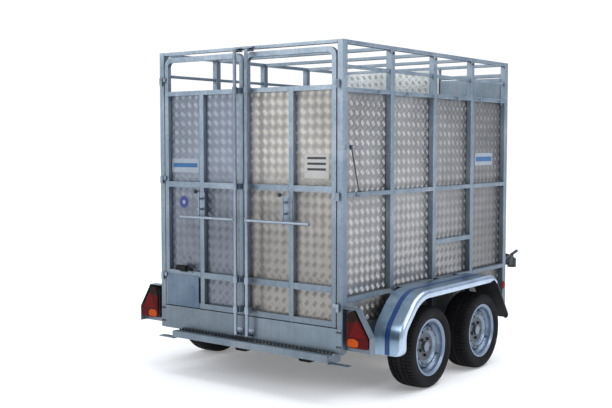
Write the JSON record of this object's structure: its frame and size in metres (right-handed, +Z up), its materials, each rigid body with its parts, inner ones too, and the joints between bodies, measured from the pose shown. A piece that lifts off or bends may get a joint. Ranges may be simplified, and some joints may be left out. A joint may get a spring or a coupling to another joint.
{
  "type": "livestock trailer",
  "caption": "Twin-axle livestock trailer with tread-plate walls, open barred roof, double rear doors, step, tandem fenders, lamps and a V drawbar with overrun coupling.",
  "frame": {"origin": "on the ground, under the middle of the trailer's bounding box, drawbar and rear step included", "axes": "+X to the right of the trailer, +Y forward towards the coupling, +Z up"},
  "size_m": [2.04, 4.03, 2.166],
  "materials": {
    "galvanised": "spangled satin",
    "tread_plate": "bright five-bar tread",
    "bright_zinc": "bright",
    "dark_grating": "weathered",
    "fender_steel": "smooth galvanised",
    "axle_steel": "matt galvanised",
    "black_plastic": "matt",
    "black_rubber": "matt",
    "black_casting": "painted",
    "lens_red": "gloss",
    "lens_amber": "gloss",
    "rim_silver": "silver paint",
    "tyre_rubber": "matt"
  },
  "bodies": {
    "trailer": {"chassis_frame": "galvanised", "drawbar": "galvanised", "floor_plate": "tread_plate", "side_frames": "galvanised", "front_wall_frame": "galvanised", "roof_bars": "galvanised", "wall_plates": "tread_plate", "sill_panels": "galvanised", "frame_bolts": "bright_zinc", "rear_step": "galvanised", "step_grating": "dark_grating", "fenders": "fender_steel", "lamp_brackets": "galvanised", "lamp_housings": "black_plastic", "lamp_lenses_red": "lens_red", "lamp_lenses_amber": "lens_amber", "side_markers": "lens_red", "side_fittings": "galvanised", "door_hinge_pins": "bright_zinc", "rod_keepers": "bright_zinc", "axle_beams": "axle_steel", "anti_tip_feet": "black_casting", "coupling_housing": "galvanised", "coupling_gaiter": "black_rubber", "jockey_outer_tube": "galvanised"},
    "door_left": {"door_left_frame": "galvanised", "door_left_plate": "tread_plate", "door_left_hardware": "bright_zinc", "number_plate_panel": "galvanised", "plate_light": "black_plastic"},
    "door_right": {"door_right_frame": "galvanised", "door_right_plate": "tread_plate", "door_right_hardware": "bright_zinc"},
    "lock_left": {"lock_rod_left": "bright_zinc"},
    "lock_right": {"lock_rod_right": "bright_zinc"},
    "bolt_left": {"handle_bolt_left": "bright_zinc"},
    "bolt_right": {"handle_bolt_right": "bright_zinc"},
    "front_door": {"front_door": "galvanised"},
    "front_latch": {"front_door_latch": "axle_steel"},
    "stay_left": {"door_stay_left": "bright_zinc"},
    "stay_right": {"door_stay_right": "bright_zinc"},
    "coupling": {"coupling_head": "black_casting"},
    "coupling_handle": {"coupling_lever": "black_plastic"},
    "handbrake": {"handbrake_lever": "black_casting"},
    "jockey_leg": {"jockey_leg": "galvanised"},
    "jockey_fork": {"jockey_fork": "galvanised"},
    "jockey_crank": {"jockey_crank": "bright_zinc"},
    "jockey_wheel": {"jockey_wheel": "black_rubber"},
    "arm_rear_left": {"arm_rear_left": "axle_steel"},
    "wheel_rear_left": {"rim_rear_left": "rim_silver", "tyre_rear_left": "tyre_rubber"},
    "arm_rear_right": {"arm_rear_right": "axle_steel"},
    "wheel_rear_right": {"rim_rear_right": "rim_silver", "tyre_rear_right": "tyre_rubber"},
    "arm_front_left": {"arm_front_left": "axle_steel"},
    "wheel_front_left": {"rim_front_left": "rim_silver", "tyre_front_left": "tyre_rubber"},
    "arm_front_right": {"arm_front_right": "axle_steel"},
    "wheel_front_right": {"rim_front_right": "rim_silver", "tyre_front_right": "tyre_rubber"}
  },
  "joints": [
    {"name": "door_left_hinge", "type": "hinge", "parent": "trailer", "child": "door_left", "pos_m": [-0.734, -1.944, 1.3], "axis": [0, 0, 1], "range_deg": [-180, 0]},
    {"name": "door_right_hinge", "type": "hinge", "parent": "trailer", "child": "door_right", "pos_m": [0.734, -1.944, 1.3], "axis": [0, 0, 1], "range_deg": [0, 180]},
    {"name": "lock_left_turn", "type": "hinge", "parent": "door_left", "child": "lock_left", "pos_m": [-0.04, -1.978, 1.2], "axis": [0, 0, 1], "range_deg": [0, 90]},
    {"name": "lock_right_turn", "type": "hinge", "parent": "door_right", "child": "lock_right", "pos_m": [0.055, -1.978, 1.2], "axis": [0, 0, 1], "range_deg": [-90, 0]},
    {"name": "bolt_left_lift", "type": "slide", "parent": "door_left", "child": "bolt_left", "axis": [0, 0, 1], "range_m": [0, 0.06]},
    {"name": "bolt_right_lift", "type": "slide", "parent": "door_right", "child": "bolt_right", "axis": [0, 0, 1], "range_m": [0, 0.06]},
    {"name": "front_door_hinge", "type": "hinge", "parent": "trailer", "child": "front_door", "pos_m": [0.722, 0.266, 1.3], "axis": [0, 0, 1], "range_deg": [-110, 0]},
    {"name": "front_latch_turn", "type": "hinge", "parent": "front_door", "child": "front_latch", "pos_m": [0.205, 0.26, 1.2], "axis": [0, 1, 0], "range_deg": [0, 90]},
    {"name": "stay_left_swing", "type": "hinge", "parent": "trailer", "child": "stay_left", "pos_m": [-0.771, -1.855, 1.536], "axis": [1, 0, 0], "range_deg": [-30, 80]},
    {"name": "stay_right_swing", "type": "hinge", "parent": "trailer", "child": "stay_right", "pos_m": [0.771, -1.855, 1.536], "axis": [1, 0, 0], "range_deg": [-30, 80]},
    {"name": "overrun_slide", "type": "slide", "parent": "trailer", "child": "coupling", "axis": [0, -1, 0], "range_m": [0, 0.06], "stiffness_N_per_m": 500},
    {"name": "coupling_handle_lift", "type": "hinge", "parent": "coupling", "child": "coupling_handle", "pos_m": [0, 1.92, 0.485], "axis": [1, 0, 0], "range_deg": [-60, 0]},
    {"name": "handbrake_pull", "type": "hinge", "parent": "trailer", "child": "handbrake", "pos_m": [0.054, 1.63, 0.46], "axis": [1, 0, 0], "range_deg": [0, 70]},
    {"name": "jockey_crank_turn", "type": "hinge", "parent": "trailer", "child": "jockey_crank", "pos_m": [-0.15, 1.4, 0.76], "axis": [0, 0, 1], "range_deg": [0, 3600]},
    {"name": "jockey_leg_lift", "type": "slide", "parent": "trailer", "child": "jockey_leg", "axis": [0, 0, 1], "range_m": [0, 0.1]},
    {"name": "jockey_swivel", "type": "hinge", "parent": "jockey_leg", "child": "jockey_fork", "pos_m": [-0.15, 1.4, 0.207], "axis": [0, 0, 1], "continuous": true},
    {"name": "jockey_wheel_spin", "type": "hinge", "parent": "jockey_fork", "child": "jockey_wheel", "pos_m": [-0.15, 1.36, 0.102], "axis": [1, 0, 0], "continuous": true},
    {"name": "suspension_rear_left", "type": "hinge", "parent": "trailer", "child": "arm_rear_left", "pos_m": [-0.777, -1.096, 0.291], "axis": [1, 0, 0], "range_deg": [-16, 8], "stiffness_Nm_per_rad": 3000, "springref_deg": 2.39},
    {"name": "spin_rear_left", "type": "hinge", "parent": "arm_rear_left", "child": "wheel_rear_left", "pos_m": [-0.89, -1.253, 0.2625], "axis": [1, 0, 0], "continuous": true},
    {"name": "suspension_rear_right", "type": "hinge", "parent": "trailer", "child": "arm_rear_right", "pos_m": [0.777, -1.096, 0.291], "axis": [1, 0, 0], "range_deg": [-16, 8], "stiffness_Nm_per_rad": 3000, "springref_deg": 2.39},
    {"name": "spin_rear_right", "type": "hinge", "parent": "arm_rear_right", "child": "wheel_rear_right", "pos_m": [0.89, -1.253, 0.2625], "axis": [1, 0, 0], "continuous": true},
    {"name": "suspension_front_left", "type": "hinge", "parent": "trailer", "child": "arm_front_left", "pos_m": [-0.777, -0.401, 0.291], "axis": [1, 0, 0], "range_deg": [-16, 8], "stiffness_Nm_per_rad": 3000, "springref_deg": 5.51},
    {"name": "spin_front_left", "type": "hinge", "parent": "arm_front_left", "child": "wheel_front_left", "pos_m": [-0.89, -0.558, 0.2625], "axis": [1, 0, 0], "continuous": true},
    {"name": "suspension_front_right", "type": "hinge", "parent": "trailer", "child": "arm_front_right", "pos_m": [0.777, -0.401, 0.291], "axis": [1, 0, 0], "range_deg": [-16, 8], "stiffness_Nm_per_rad": 3000, "springref_deg": 5.51},
    {"name": "spin_front_right", "type": "hinge", "parent": "arm_front_right", "child": "wheel_front_right", "pos_m": [0.89, -0.558, 0.2625], "axis": [1, 0, 0], "continuous": true}
  ],
  "couplings": [
    {"joint": "jockey_leg_lift", "follows": "jockey_crank_turn", "m_per_rad": 0.0015915}
  ]
}
